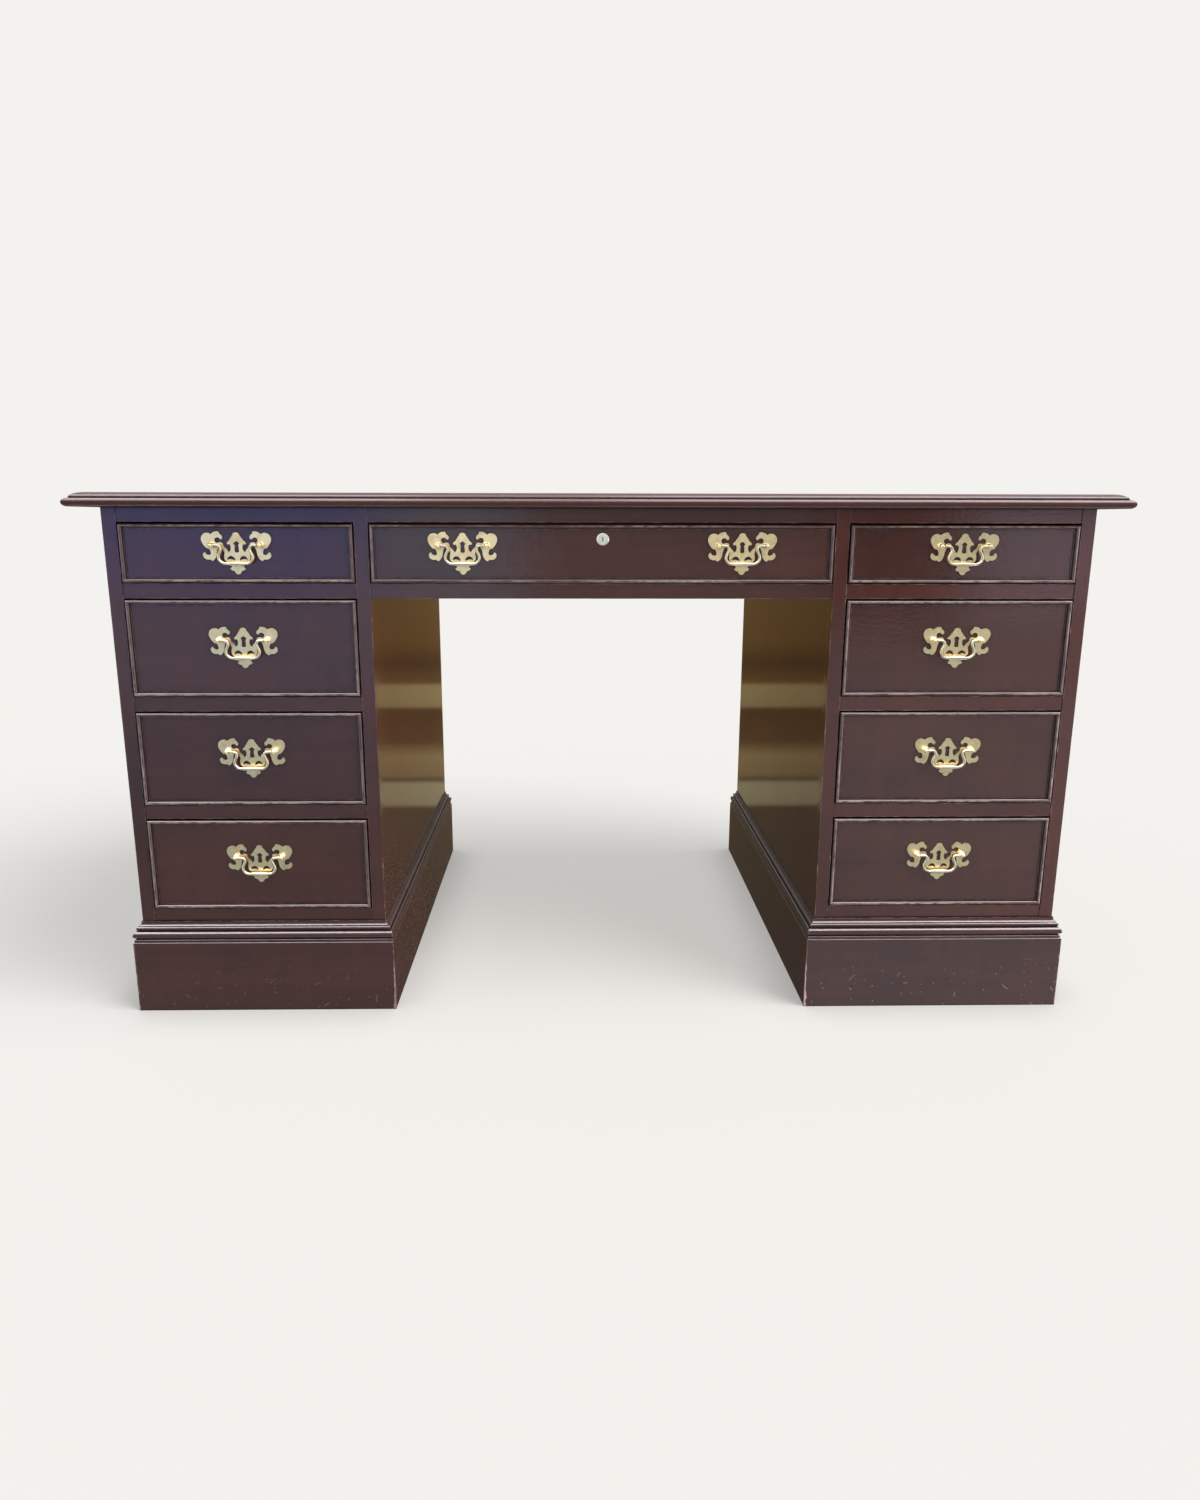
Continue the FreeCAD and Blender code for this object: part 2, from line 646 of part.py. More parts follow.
def bolt_y():
    return FIELD + FRONT_T - CASE_T / 2


def lock_pocket():
    """What is cut out of the centre drawer's front for the lock."""
    y = FIELD
    hole = rod(BARREL_R, vec(0, y - 1, LOCK_Z), vec(0, y + FRONT_T, LOCK_Z))
    case = box(-CASE_W / 2, CASE_W / 2, y + FRONT_T - CASE_T, y + FRONT_T,
               LOCK_Z - CASE_BELOW, LOCK_Z + CASE_ABOVE)
    return [hole, case, bolt_slot(LOCK_Z, TOP_OPEN)]


def bolt_slot(z0, z1):
    """The upright channel that the bolt slides in."""
    half_w, half_t = BOLT_W / 2 + BOLT_CLEAR, BOLT_T / 2 + BOLT_CLEAR
    return box(-half_w, half_w, bolt_y() - half_t, bolt_y() + half_t, z0, z1)


def lock():
    """Cylinder lock: barrel and case, turning plug with a keyway, sliding bolt."""
    y = FIELD
    inside = y + FRONT_T - CASE_T
    barrel = rod(BARREL_R, vec(0, y, LOCK_Z), vec(0, inside, LOCK_Z))
    flange = [
        [(FLANGE_R, 0)],
        [(FLANGE_R - 0.4, FLANGE_T * 0.7), (FLANGE_R - 1.6, FLANGE_T)],
        [(0, FLANGE_T)],
        [(0, 0)],
    ]
    barrel = barrel.fuse(turned((0, 0), flange, vec(0, y, LOCK_Z), (0, -1, 0)))
    case = box(-CASE_W / 2, CASE_W / 2, inside, y + FRONT_T,
               LOCK_Z - CASE_BELOW, LOCK_Z + CASE_ABOVE)
    bore_end = y + FRONT_T - 3.0
    body = barrel.fuse(case).removeSplitter()
    body = body.cut(rod(PLUG_R + PLUG_CLEAR, vec(0, y - FLANGE_T - 1, LOCK_Z), vec(0, bore_end, LOCK_Z)))
    body = body.cut(bolt_slot(LOCK_Z, TOP_OPEN))
    face = y - FLANGE_T - 0.3
    plug = rod(PLUG_R, vec(0, face, LOCK_Z), vec(0, bore_end - 0.3, LOCK_Z))
    plug = plug.cut(box(-0.8, 0.8, face, face + 9.0, LOCK_Z - 3.4, LOCK_Z + 3.4))
    top = TOP_OPEN - HEAD_GAP - 0.6
    bolt = box(-BOLT_W / 2, BOLT_W / 2, bolt_y() - BOLT_T / 2, bolt_y() + BOLT_T / 2,
               LOCK_Z + BOLT_FOOT, top)
    return {"lock_case": [body], "lock_plug": [plug], "lock_bolt": [bolt]}


# ---------------------------------------------------------------- rear cupboards

def hinge_axis(sign):
    """Where a door's hinge axis stands: at the gap beside the outer stile."""
    return sign * (OUTER - SIDE_T - DOOR_GAP / 2), REAR + HINGE_R


def hinge(sign, z):
    """A butt hinge: fixed leaf with end knuckles, moving leaf with the middle one, pin."""
    x, y = hinge_axis(sign)
    third = HINGE_LEN / 3
    ends = [(z, z + third), (z + 2 * third, z + HINGE_LEN)]
    middle = (z + third + KNUCKLE_GAP, z + 2 * third - KNUCKLE_GAP)
    stile = sign * (OUTER - SIDE_T)
    door = sign * (OUTER - SIDE_T - DOOR_GAP)
    bore = HINGE_PIN_R + HINGE_PIN_CLEAR

    def leaf(face, inward, spans):
        plate_x = face + inward * LEAF_T
        leaf_parts = [box(face, plate_x, y, REAR - LEAF_D, low, high) for low, high in spans]
        leaf_parts += [box(face, plate_x, REAR - 2.0, REAR - LEAF_D, z, z + HINGE_LEN)]
        for low, high in spans:
            leaf_parts.append(rod(HINGE_R, vec(x, y, low), vec(x, y, high)))
        whole = leaf_parts[0].multiFuse(leaf_parts[1:])
        return whole.cut(rod(bore, vec(x, y, z - 1), vec(x, y, z + HINGE_LEN + 1))).removeSplitter()

    fixed = leaf(stile, -sign, ends)
    moving = leaf(door, sign, [middle])
    pin = rod(HINGE_PIN_R, vec(x, y, z), vec(x, y, z + HINGE_LEN))
    return fixed, moving, pin


def hinge_heights():
    low, high = BASE_H + DOOR_GAP, MID_RAIL_LOW - DOOR_GAP
    return low + HINGE_INSET, high - HINGE_INSET - HINGE_LEN


def door(sign):
    """A cupboard door with the same edge moulding as the drawers."""
    x0, x1 = sorted((sign * (KNEE + SIDE_T + DOOR_GAP), sign * (OUTER - SIDE_T - DOOR_GAP)))
    panel = moulded_front(x0, x1, BASE_H + DOOR_GAP, MID_RAIL_LOW - DOOR_GAP,
                          REAR - FIELD_BACK, 1, FRONT_T)
    x, y = hinge_axis(sign)
    room = HINGE_R + 0.4
    for z in hinge_heights():
        panel = panel.cut(rod(room, vec(x, y, z - 0.5), vec(x, y, z + HINGE_LEN + 0.5)))
    return panel


def door_knob(sign):
    """A turned knob near the free edge of the door."""
    out = REAR - FIELD_BACK
    neck = 3.6
    steps = [
        [(8.0, 0)],
        [(8.0, 1.6)],
        [(4.8, 3.2), (neck, 7.0)],
        [(neck, KNOB_OUT - 12.0)],
        [(KNOB_R - 3.0, KNOB_OUT - 10.5), (KNOB_R, KNOB_OUT - 6.0)],
        [(KNOB_R - 2.6, KNOB_OUT - 1.8), (KNOB_R - 7.0, KNOB_OUT)],
        [(0, KNOB_OUT)],
        [(0, 0)],
    ]
    x = sign * (KNEE + SIDE_T + DOOR_GAP + KNOB_IN)
    z = (BASE_H + MID_RAIL_LOW) / 2
    return turned((0, 0), steps, vec(x, out, z), (0, 1, 0))


def rear_frieze():
    """Fixed moulded panels in the three rear openings under the desktop."""
    spans = [(-KNEE, KNEE)]
    for sign in SIDES.values():
        spans.append(tuple(sorted((sign * (KNEE + SIDE_T), sign * (OUTER - SIDE_T)))))
    return [moulded_front(x0, x1, MID_RAIL_TOP, TOP_OPEN, REAR - FIELD_BACK, 1, FRONT_T)
            for x0, x1 in spans]


# ---------------------------------------------------------------- the whole desk

def build():
    nodes = desktop()
    nodes["top_screws"] = top_screws()
    nodes["centre_rails"] = centre_rails()
    nodes["rear_frieze_panels"] = rear_frieze()
    nodes["drawer_runners"] = centre_runners()
    nodes["inner_boards"] = []
    nodes["rear_frames"] = []
    nodes["plinth_boards"] = []
    nodes["base_mouldings"] = []
    nodes["rear_hinge_leaves"] = []
    for name, sign in SIDES.items():
        nodes[name + "_side_panels"] = side_panels(sign)
        nodes[name + "_front_frame"] = frame(sign, FRONT, -1, rail_levels())
        nodes["drawer_runners"] += runners(sign)
        nodes["inner_boards"] += inner_boards(sign) + top_cleats(sign)
        nodes["rear_frames"] += frame(sign, REAR, 1, rear_rail_levels())
        nodes["plinth_boards"] += plinth(sign)
        nodes["base_mouldings"] += base_moulding(sign)
        nodes[name + "_door"] = [door(sign)]
        nodes[name + "_door_fittings"] = [door_knob(sign)]
        for z in hinge_heights():
            fixed, moving, pin = hinge(sign, z)
            nodes["rear_hinge_leaves"] += [fixed, pin]
            nodes[name + "_door_fittings"].append(moving)
        x0, x1 = sorted((sign * (KNEE + SIDE_T), sign * (OUTER - SIDE_T)))
        for number, (low, high) in enumerate(LEVELS, 1):
            rise = TOP_POST_RISE if number == 1 else DEEP_POST_RISE
            nodes.update(drawer(name + "_%d" % number, x0, x1, low, high, [(x0 + x1) / 2], rise))
    low, high = LEVELS[0]
    nodes.update(drawer("centre", -KNEE, KNEE, low, high, [-CENTRE_PULL_X, CENTRE_PULL_X],
                        TOP_POST_RISE))
    for pocket in lock_pocket():
        nodes["centre_drawer_front"][0] = nodes["centre_drawer_front"][0].cut(pocket)
    nodes.update(lock())
    return nodes


os.makedirs("parts", exist_ok=True)
for node, shapes in sorted(build().items()):
    solids = [solid for shape in shapes for solid in shape.Solids]
    whole = solids[0] if len(solids) == 1 else Part.makeCompound(solids)
    whole.exportStep("parts/" + node + ".step")
    print("%-26s %2d solids  %12.1f mm3  valid %s" % (node, len(solids), whole.Volume, whole.isValid()))
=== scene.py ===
import math

import bpy
from mathutils import Matrix, Vector


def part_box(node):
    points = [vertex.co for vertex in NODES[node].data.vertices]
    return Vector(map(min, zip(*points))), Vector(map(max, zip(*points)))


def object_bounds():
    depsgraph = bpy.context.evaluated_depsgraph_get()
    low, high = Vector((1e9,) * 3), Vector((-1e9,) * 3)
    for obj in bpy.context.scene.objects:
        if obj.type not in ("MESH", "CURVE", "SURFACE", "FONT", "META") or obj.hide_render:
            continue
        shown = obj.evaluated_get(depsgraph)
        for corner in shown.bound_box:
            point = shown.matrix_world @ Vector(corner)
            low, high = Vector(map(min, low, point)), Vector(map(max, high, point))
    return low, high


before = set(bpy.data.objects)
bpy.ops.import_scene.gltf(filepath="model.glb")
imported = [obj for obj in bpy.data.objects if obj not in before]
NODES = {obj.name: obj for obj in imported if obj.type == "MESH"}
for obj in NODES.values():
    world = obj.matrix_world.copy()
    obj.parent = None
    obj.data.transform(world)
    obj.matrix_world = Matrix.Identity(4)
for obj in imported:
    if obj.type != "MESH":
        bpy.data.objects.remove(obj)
CAD_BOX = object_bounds()
SCENE = bpy.context.scene

# A mahogany partners desk in a plain pale studio.  Metres, +Z up, drawers towards -Y.

# ---- camera, at the photograph's viewing angle ----
IMAGE_W, IMAGE_H = 1200, 1500
FOCAL_PX = 998.15
CENTRE_X_PX, CENTRE_Y_PX = 588.99, 747.70
CAMERA_AT = (-0.0456, -1.8453, 0.7567)
PITCH_DOWN, YAW_RIGHT, ROLL = 0.22469, 0.01789, 0.00206
SENSOR_MM = 36.0

# ---- floor and even light ----
PAPER = (0.905, 0.887, 0.855)         # the background, and the floor where no shadow falls
FLOOR_GLOW = 0.58                     # share of the floor's brightness that no shadow takes
FLOOR_ALBEDO = 0.52
FLOOR_SIZE = 12.0
FLOOR_DROP = 0.0002                   # how far the floor lies under the feet
FADE_FROM, FADE_TO = 1.9, 3.2         # the floor melts into the background between these radii
# painted contact shadow on the floor, made by dimming its glow:
CONTACT_SHADOW_REACH = 0.10                  # the floor's glow fades this near to the desk,
CONTACT_SHADOW_LOSS = 0.30                   # by this share
AMBIENT = 0.16                        # light from all round on matt surfaces

# ---- lamps: name, place, aim, size, watts, colour ----
SUN_FROM = (0.82, -0.36, 1.0)         # towards the lamp whose soft shadows fall to the left
SUN_SPREAD = math.radians(44)
SOFTBOXES = [
    ("softbox_front", (0.2, -3.0, 0.9), (0, -0.3, 0.4), (3.0, 1.5), 55, (1.0, 0.98, 0.96)),
    ("strip_left", (-2.6, -1.7, 1.2), (-0.5, 0, 0.5), (0.9, 2.0), 18, (0.72, 0.82, 1.0)),
    ("strip_right", (2.6, -1.7, 1.2), (0.5, 0, 0.5), (0.9, 2.0), 100, (1.0, 0.95, 0.90)),
]
CARD = ("card", (-0.5, -2.6, 1.5), (0, 0, 0.5), (2.4, 1.0), 17, (1.0, 0.97, 0.92))

# ---- what the polish mirrors, by direction ----
ROOM = (0.32, 0.38, 0.41, 1)          # ahead of the drawer fronts
# Patches of it: middle (side, drop) and half size, as slopes, and colour.
ROOM_AHEAD = [
    ((-0.36, 0.00), (0.22, 0.08), (0.35, 0.75, 1.95)),
    ((-0.34, 0.13), (0.24, 0.06), (0.42, 0.70, 1.10)),
    ((-0.34, 0.24), (0.22, 0.05), (0.30, 0.50, 0.75)),
    ((-0.12, 0.03), (0.07, 0.07), (0.65, 1.05, 1.40)),
    ((0.31, 0.04), (0.06, 0.06), (0.03, 0.03, 0.03)),
    ((0.47, 0.03), (0.07, 0.06), (1.15, 1.25, 1.60)),
    ((0.42, 0.26), (0.20, 0.14), (0.62, 0.76, 0.82)),
    ((0.40, 0.48), (0.22, 0.06), (0.55, 0.80, 0.90)),
]
PATCH_SOFTNESS = 0.5                  # of each edge, as a part of the half size
# Behind the desk, seen in the sides of the kneehole: bands from level down to a slope of 0.6.
BEHIND_DROP = 0.6
ROOM_BEHIND = [
    (0.00, (0.06, 0.05, 0.04)), (0.03, (0.38, 0.33, 0.25)), (0.10, (0.22, 0.13, 0.045)),
    (0.20, (0.19, 0.10, 0.030)), (0.235, (0.10, 0.05, 0.016)), (0.268, (0.18, 0.095, 0.030)),
    (0.274, (0.44, 0.32, 0.14)), (0.308, (0.39, 0.29, 0.13)), (0.314, (0.11, 0.055, 0.018)),
    (0.37, (0.14, 0.075, 0.027)), (0.395, (0.36, 0.25, 0.11)), (0.432, (0.29, 0.20, 0.09)),
    (0.436, (0.06, 0.042, 0.016)), (0.444, (0.42, 0.36, 0.21)), (0.480, (0.38, 0.32, 0.18)),
    (0.488, (0.10, 0.073, 0.042)), (0.70, (0.075, 0.058, 0.04)), (1.00, (0.05, 0.05, 0.055)),
]
CEILING = (0.80, 0.81, 0.85, 1)
GROUND = (0.75, 0.73, 0.70, 1)
BESIDE = ((1.0, 3.2), (-1.0, 2.1))    # side and brightness of the light on upright edges
OVERHEAD = (14.0, 14.0, 14.8)         # the window light that the mouldings mirror
OVERHEAD_HALF = 0.80                  # its extent to either side, as part of a direction
OVERHEAD_LEAN = (-0.85, 0.50)         # and from front to back, as slopes from straight up
GLAZING_BAR = -0.05                   # where it is half as bright

# ---- colours of the desk ----
DARK = (0.0225, 0.0080, 0.0064, 1)
MIDDLE = (0.0290, 0.0102, 0.0079, 1)
RED = (0.0370, 0.0128, 0.0090, 1)
FIGURED = (1.16, 1.10, 1.08, 1)
# painted shade, laid into hollows and corners
PAINTED_SHADE = (0.006, 0.003, 0.003, 1)
PINK = (0.4600, 0.3000, 0.3000, 1)
# the rubbed colour of worn lacquer, also used as a painted highlight on bead crests
RUBBED_AND_HIGHLIGHT = (0.3000, 0.2300, 0.2100, 1)
CHIPPED = (0.3400, 0.2200, 0.1700, 1)
DUSTY = (0.2200, 0.1900, 0.1850, 1)
REDDER = (1.18, 0.97, 0.94)
PLAIN_WOOD = [(0.30, (0.20, 0.115, 0.055)), (0.55, (0.33, 0.205, 0.105)),
              (0.78, (0.42, 0.28, 0.155))]
PLAIN_WOOD_CLOUD = (0.24, 0.14, 0.07, 1)
LEATHER = [(0.30, (0.007, 0.019, 0.012)), (0.70, (0.014, 0.036, 0.022))]
GILT = (0.62, 0.40, 0.13, 1)
GILT_LINES = ((0.014, 0.0016), (0.019, 0.0005), (0.034, 0.0005))    # inset, half width
PLATE_BRASS = (0.86, 0.66, 0.36, 1)
BAIL_BRASS = (0.52, 0.46, 0.32, 1)
DULL_BRASS = (0.42, 0.34, 0.20, 1)
NICKEL, DULL_NICKEL = (0.84, 0.78, 0.62, 1), (0.45, 0.42, 0.36, 1)
STEEL, DULL_STEEL = (0.45, 0.44, 0.43, 1), (0.18, 0.17, 0.16, 1)

# ---- sizes on the desk ----
MITRE_BLUR = 0.0004
ANY_WIDTH = 9.0                       # wider than any board
BEAD_WIDTH, BEAD_CREST = 0.0078, 0.0026     # of the bead round a front, and its crest's inset
BEVEL_SEGMENTS = 2
BEVEL_ANGLE = math.radians(38)


# ---------------------------------------------------------------- node trees

class Tree:
    """A shader node tree under construction."""

    def __init__(self, tree):
        self.nodes, self.links = tree.nodes, tree.links
        self.nodes.clear()

    def feed(self, socket, value):
        """Gives a socket a constant, or links another socket to it."""
        if isinstance(value, bpy.types.NodeSocket):
            self.links.new(value, socket)
        else:
            socket.default_value = value

    def put(self, kind, inputs=None, **settings):
        """A new node with its inputs fed."""
        node = self.nodes.new("ShaderNode" + kind)
        for key, value in settings.items():
            setattr(node, key, value)
        for key, value in (inputs or {}).items():
            self.feed(node.inputs[key], value)
        return node

    def math(self, operation, a, b=0.0, c=0.0):
        return self.put("Math", {0: a, 1: b, 2: c}, operation=operation).outputs[0]

    def times(self, first, *others):
        for other in others:
            first = self.math("MULTIPLY", first, other)
        return first

    def minus(self, a, b):
        return self.math("SUBTRACT", a, b)

    def line(self, value, slope, start):
        """start + slope * value."""
        return self.math("MULTIPLY_ADD", value, slope, start)

    def away(self, value, middle=0.0):
        """How far value is from middle."""
        return self.math("ABSOLUTE", self.minus(value, middle))

    def step(self, value, low, high):
        """Smoothly from 0 at low to 1 at high, either way round."""
        node = self.put("MapRange", {"Value": value, "From Min": low, "From Max": high},
                        interpolation_type="SMOOTHSTEP")
        return node.outputs["Result"]

    def scaled(self, vector, factors):
        return self.put("VectorMath", {0: vector, 1: factors}, operation="MULTIPLY").outputs[0]

    def shifted(self, vector, offset):
        return self.put("VectorMath", {0: vector, 1: offset}, operation="ADD").outputs[0]

    def noise(self, vector, scale=1.0, detail=3.0, roughness=0.5, distortion=0.0):
        node = self.put("TexNoise", {"Vector": vector, "Scale": scale, "Detail": detail,
                                     "Roughness": roughness, "Distortion": distortion})
        return node.outputs["Fac"]

    def openness(self, distance, samples=6, inside=False):
        """1 in the open, less in a hollow of that size, or on an edge if measured inside."""
        node = self.put("AmbientOcclusion", {"Distance": distance}, samples=samples,
                        inside=inside)
        return node.outputs["AO"]

    def bump(self, height, strength, distance=0.0004):
        node = self.put("Bump", {"Height": height, "Strength": strength, "Distance": distance})
        return node.outputs[0]

    def blend(self, factor, a, b, mode="MIX"):
        node = self.put("Mix", {0: factor, 6: a, 7: b}, data_type="RGBA", blend_type=mode,
                        clamp_factor=True)
        return node.outputs[2]

    def ramp(self, factor, stops):
        """Colours between the stops, which are pairs of place and colour, in order."""
        node = self.put("ValToRGB", {0: factor})
        band = node.color_ramp
        band.interpolation = "LINEAR"
        first, last = band.elements
        first.position, last.position = stops[0][0], stops[-1][0]
        for at, _ in stops[1:-1]:
            band.elements.new(at)
        for element, (_, colour) in zip(sorted(band.elements, key=lambda e: e.position), stops):
            element.color = (*colour[:3], 1)
        return node.outputs[0]

    def split(self, vector):
        return self.put("SeparateXYZ", {0: vector}).outputs

    def join(self, x, y, z):
        return self.put("CombineXYZ", {0: x, 1: y, 2: z}).outputs[0]

    def place(self):
        """The position in the desk's frame."""
        return self.put("TexCoord").outputs["Object"]

    def end(self, shader):
        self.put("OutputMaterial", {"Surface": shader.outputs[0]})


def new_material(name):
    material = bpy.data.materials.new(name)
    material.use_nodes = True
    return material, Tree(material.node_tree)


# ---------------------------------------------------------------- run of the grain

def along(tree, place, run):
    """Position reordered so that the grain of a board that runs along run is first."""
    x, y, z = place
    return {"x": tree.join(x, y, z), "y": tree.join(y, z, x), "z": tree.join(z, x, y)}[run]


def choose(tree, mask, off, on):
    """The vector off where mask is 0, and on where it is 1."""
    return tree.put("Mix", {0: mask, 4: off, 5: on}, data_type="VECTOR").outputs[1]


def ring_mask(tree, a, b, centre_a, centre_b, half_a, half_b, width=ANY_WIDTH):
    """1 in the lengths of a mitred ring that stand at its two ends along a."""
    out_a = tree.minus(tree.away(a, centre_a), half_a)
    out_b = tree.minus(tree.away(b, centre_b), half_b)
    beyond = tree.step(tree.minus(out_a, out_b), -MITRE_BLUR, MITRE_BLUR)
    return tree.times(beyond, tree.step(out_a, -width - MITRE_BLUR, -width + MITRE_BLUR))


def board(run):
    return lambda tree, place: along(tree, place, run)


def mitred(centre_x, half_x, half_y):
    """Layout of a mitred ring of boards, or of one round each pedestal at centre_x."""
    def layout(tree, place):
        x = tree.away(place[0]) if centre_x > 0 else place[0]
        mask = ring_mask(tree, x, place[1], centre_x, 0, half_x, half_y)
        return choose(tree, mask, along(tree, place, "x"), along(tree, place, "y"))
    return layout


def framed(centre, half):
    """Layout of stiles further than half from the centre of a pedestal, and rails between."""
    def layout(tree, place):
        off = tree.away(tree.away(place[0]), centre)
        mask = tree.step(off, half - MITRE_BLUR, half + MITRE_BLUR)
        return choose(tree, mask, along(tree, place, "x"), along(tree, place, "z"))
    return layout


# ---------------------------------------------------------------- mahogany

def strokes(tree, place, cell, half_long, half_wide, share, seed):
    """Short scratches in every direction: 1 on a scratch, at most one in each cell."""
    x, y, z = place
    across = tree.math("ADD", tree.math("ADD", x, y), seed)
    spread = tree.put("TexVoronoi", {"Vector": tree.join(across, z, 0.0), "Scale": 1 / cell},
                      voronoi_dimensions="2D")
    chance, turn, size = tree.split(spread.outputs["Color"])
    off = tree.split(spread.outputs["Position"])
    u, v = tree.minus(across, off[0]), tree.minus(z, off[1])
    angle = tree.times(turn, math.pi)
    cos, sin = tree.math("COSINE", angle), tree.math("SINE", angle)
    run = tree.math("ADD", tree.times(u, cos), tree.times(v, sin))
    rise = tree.minus(tree.times(v, cos), tree.times(u, sin))
    bow = tree.times(run, run, tree.line(size, 60.0, -30.0))
    rise = tree.math("ABSOLUTE", tree.math("ADD", rise, bow))
    length = tree.line(size, half_long, 0.3 * half_long)
    inside = tree.step(tree.math("DIVIDE", tree.away(run), length), 1.0, 0.5)
    thin = tree.step(rise, half_wide, 0.3 * half_wide)
    return tree.times(inside, thin, tree.math("LESS_THAN", chance, share))


def scuffs(tree, place, colour, patchy, corner, seed):
    """Scratches low on a plinth's face, and the stain kicked off its inner upright edge.

    corner is the low corner of the face at that edge.  The right plinth is the more worn."""
    x, y, z = place
    on_right = tree.line(tree.step(x, -0.1, 0.1), 0.5, 0.5)
    low = tree.times(tree.step(y, corner.y + 0.02, corner.y + 0.01),
                     tree.step(z, corner.z + 0.11, corner.z + 0.01))
    specks = strokes(tree, place, 0.016, 0.0016, 0.0007, 0.40, seed)
    long = strokes(tree, place, 0.040, 0.0070, 0.0006, 0.50, seed + 3.0)
    lines = tree.times(tree.math("MAXIMUM", specks, long), low, on_right)
    colour = tree.blend(tree.times(lines, 0.85), colour, DUSTY)

    width = tree.line(tree.step(z, corner.z + 0.050, corner.z), 0.0026, 0.0012)
    width = tree.times(width, tree.line(patchy, 2.4, -0.2))
    kicked = tree.math("LESS_THAN", tree.minus(tree.away(x), corner.x), width)
    kicked = tree.times(kicked, tree.step(z, corner.z + 0.085, corner.z + 0.060),
                        tree.step(y, corner.y + 0.006, corner.y + 0.003), on_right)
    return tree.blend(tree.times(kicked, 0.6), colour, PINK)


def mahogany(name, layout, seed, scuffed=None, crest_wear_and_highlight=None, chips=0.0,
             tone=(1.0, 1.0, 1.0), gloss=0.07, coat=1.0, ripples=0.5):
    """Dark stained mahogany under a worn gloss lacquer.

    layout(tree, place) gives the position with the grain along its first axis.
    scuffed is the low corner of a scratched face: x of its worn end, y and z.
    The crest argument, called as (tree, place), is 1 along the top of a bead, where the lacquer is
    rubbed through and a painted highlight lightens it."""
    material, tree = new_material(name)
    place = tree.split(tree.place())
    grain = tree.shifted(layout(tree, place), (seed * 3.7, seed * 1.3, seed * 2.1))

    streaks = tree.noise(tree.scaled(grain, (3.5, 70.0, 70.0)), detail=6.0, roughness=0.72,
                         distortion=0.2)
    pores = tree.noise(tree.scaled(grain, (60.0, 1300.0, 1300.0)), detail=2.0)
    figure = tree.noise(tree.scaled(grain, (34.0, 11.0, 11.0)), detail=3.0, distortion=0.6)
    cloud = tree.noise(tree.scaled(grain, (3.0, 5.0, 5.0)), detail=2.0)
    patchy = tree.noise(tree.scaled(grain, (70.0, 150.0, 150.0)), detail=4.0, roughness=0.6)

    colour = tree.ramp(streaks, [(0.15, DARK), (0.50, MIDDLE), (0.85, RED)])
    colour = tree.blend(tree.step(figure, 0.36, 0.72), colour, FIGURED, "MULTIPLY")
    shade = tree.ramp(cloud, [(at, [part * amount for part in tone])
                              for at, amount in ((0.30, 0.84), (0.70, 1.16))])
    colour = tree.blend(1.0, colour, shade, "MULTIPLY")
    colour = tree.blend(tree.times(tree.step(pores, 0.60, 0.74), 0.5), colour, DARK)

    # Edges: the lacquer is rubbed in patches, and here and there chipped down to bare wood.
    edge = tree.step(tree.openness(0.0016, inside=True), 0.86, 0.58)
    rubbed = tree.times(edge, tree.step(patchy, 0.44, 0.60))
    colour = tree.blend(tree.times(rubbed, 0.32), colour, RUBBED_AND_HIGHLIGHT)
    # bead crests: rubbed lacquer together with a painted highlight, in the rubbed colour
    if crest_wear_and_highlight:
        lengths = tree.noise(tree.scaled(grain, (9.0, 5.0, 5.0)), detail=1.0)
        lengths = tree.line(tree.step(lengths, 0.30, 0.62), 0.62, 0.15)
        thin = tree.times(crest_wear_and_highlight(tree, place), tree.step(patchy, 0.32, 0.62), lengths)
        colour = tree.blend(thin, colour, RUBBED_AND_HIGHLIGHT)
    bare = tree.times(edge, tree.step(patchy, 0.76 - 0.08 * chips, 0.79 - 0.08 * chips))
    if scuffed:
        colour = scuffs(tree, place, colour, patchy, scuffed, seed)
    colour = tree.blend(tree.times(bare, 0.7), colour, CHIPPED)

    # Hollows: painted shade, near black, laid where the occlusion mask finds a corner, which also
    # takes the gloss.
    shaded_hollow = tree.step(tree.openness(0.004), 0.92, 0.45)
    colour = tree.blend(shaded_hollow, colour, PAINTED_SHADE)

    worn = tree.math("MAXIMUM", tree.times(rubbed, 0.5), bare)
    haze = tree.noise(tree.scaled(grain, (7.0, 12.0, 12.0)), detail=4.0)
    roughness = tree.line(worn, 0.3, tree.line(haze, 0.20, 0.40))
    height = tree.line(pores, -0.25, tree.times(streaks, 0.5))
    height = tree.minus(height, tree.times(bare, 0.8))
    ripple = tree.noise(tree.scaled(grain, (150.0, 260.0, 260.0)), detail=3.0)
    tree.end(tree.put("BsdfPrincipled", {
        "Base Color": colour, "Roughness": roughness, "Specular IOR Level": 0.1,
        "Normal": tree.bump(height, 0.4 * ripples),
        "Coat Weight": tree.line(shaded_hollow, -0.85 * coat, coat), "Coat Roughness": gloss,
        "Coat IOR": 1.5, "Coat Normal": tree.bump(ripple, ripples, 0.0003)}))
    return material


# ---------------------------------------------------------------- other materials

def lining_wood(name, run, seed):
    """Plain waxed wood of the drawer boxes, runners and hidden boards."""
    material, tree = new_material(name)
    grain = tree.shifted(along(tree, tree.split(tree.place()), run),
                         (seed, seed * 0.7, seed * 0.3))
    streaks = tree.noise(tree.scaled(grain, (3.0, 110.0, 110.0)), detail=5.0, roughness=0.6)
    cloud = tree.noise(tree.scaled(grain, (2.0, 6.0, 6.0)), detail=2.0)
    colour = tree.ramp(streaks, PLAIN_WOOD)
    colour = tree.blend(tree.times(cloud, 0.6), colour, PLAIN_WOOD_CLOUD)
    tree.end(tree.put("BsdfPrincipled", {
        "Base Color": colour, "Roughness": tree.line(streaks, 0.25, 0.42),
        "Normal": tree.bump(streaks, 0.3)}))
    return material


